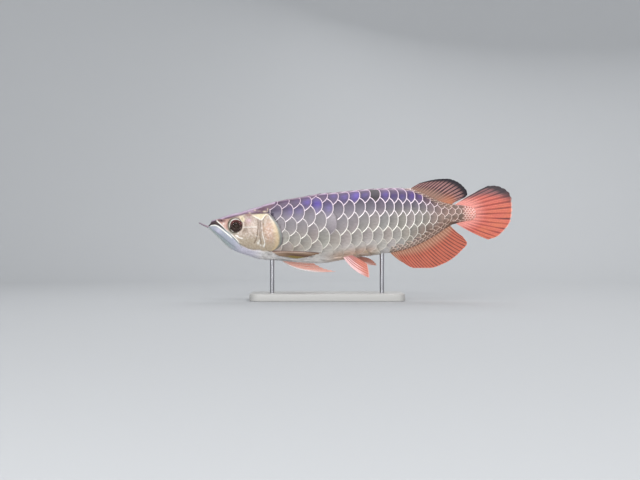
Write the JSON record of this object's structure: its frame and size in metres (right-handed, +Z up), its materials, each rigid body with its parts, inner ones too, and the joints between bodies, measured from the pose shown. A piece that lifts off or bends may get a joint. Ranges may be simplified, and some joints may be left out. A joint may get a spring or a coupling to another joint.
{
  "type": "asian arowana model",
  "caption": "Life-size still model of an Asian arowana, a long silvery aquarium fish with large netted scales and coral fins, held level on a plain display stand.",
  "frame": {"origin": "middle of the underside of the stand's base, on the surface it stands on", "axes": "+X from the fish's head to its tail, +Y to the fish's right, +Z up"},
  "size_m": [0.5144, 0.1272, 0.1991],
  "materials": {
    "scales": "glossy overlapping scales, grey violet to silver, each with a pale rim",
    "head_skin": "satin, cream and pink beige cheeks under a mauve brown crown",
    "jaw_skin": "satin, bluish white with a white lip",
    "gill_plate": "satin, cream to pinkish tan bony plate",
    "eye": "clear gloss, very dark brown red with a thin silvery ring",
    "barbel": "satin, pinkish grey",
    "dark_fin": "satin, purple black membrane between pale pink brown rays",
    "coral_fin": "satin, coral rays with dark brown red membrane between",
    "stand_base": "fine satin, pale grey",
    "stand_rod": "brushed"
  },
  "bodies": {
    "root": {"head": "head_skin", "lower_jaw": "jaw_skin", "gill_cover_left": "gill_plate", "gill_cover_right": "gill_plate", "eye_left": "eye", "eye_right": "eye", "barbel_left": "barbel", "barbel_right": "barbel", "trunk_front": "scales", "trunk_middle": "scales", "trunk_rear": "scales", "tail_stalk": "scales", "dorsal_fin": "dark_fin", "anal_fin": "coral_fin", "caudal_fin": "coral_fin", "pectoral_fin_left": "coral_fin", "pectoral_fin_right": "coral_fin", "pelvic_fin_left": "coral_fin", "pelvic_fin_right": "coral_fin", "stand_base": "stand_base", "stand_rod_front": "stand_rod", "stand_rod_rear": "stand_rod"}
  },
  "joints": []
}
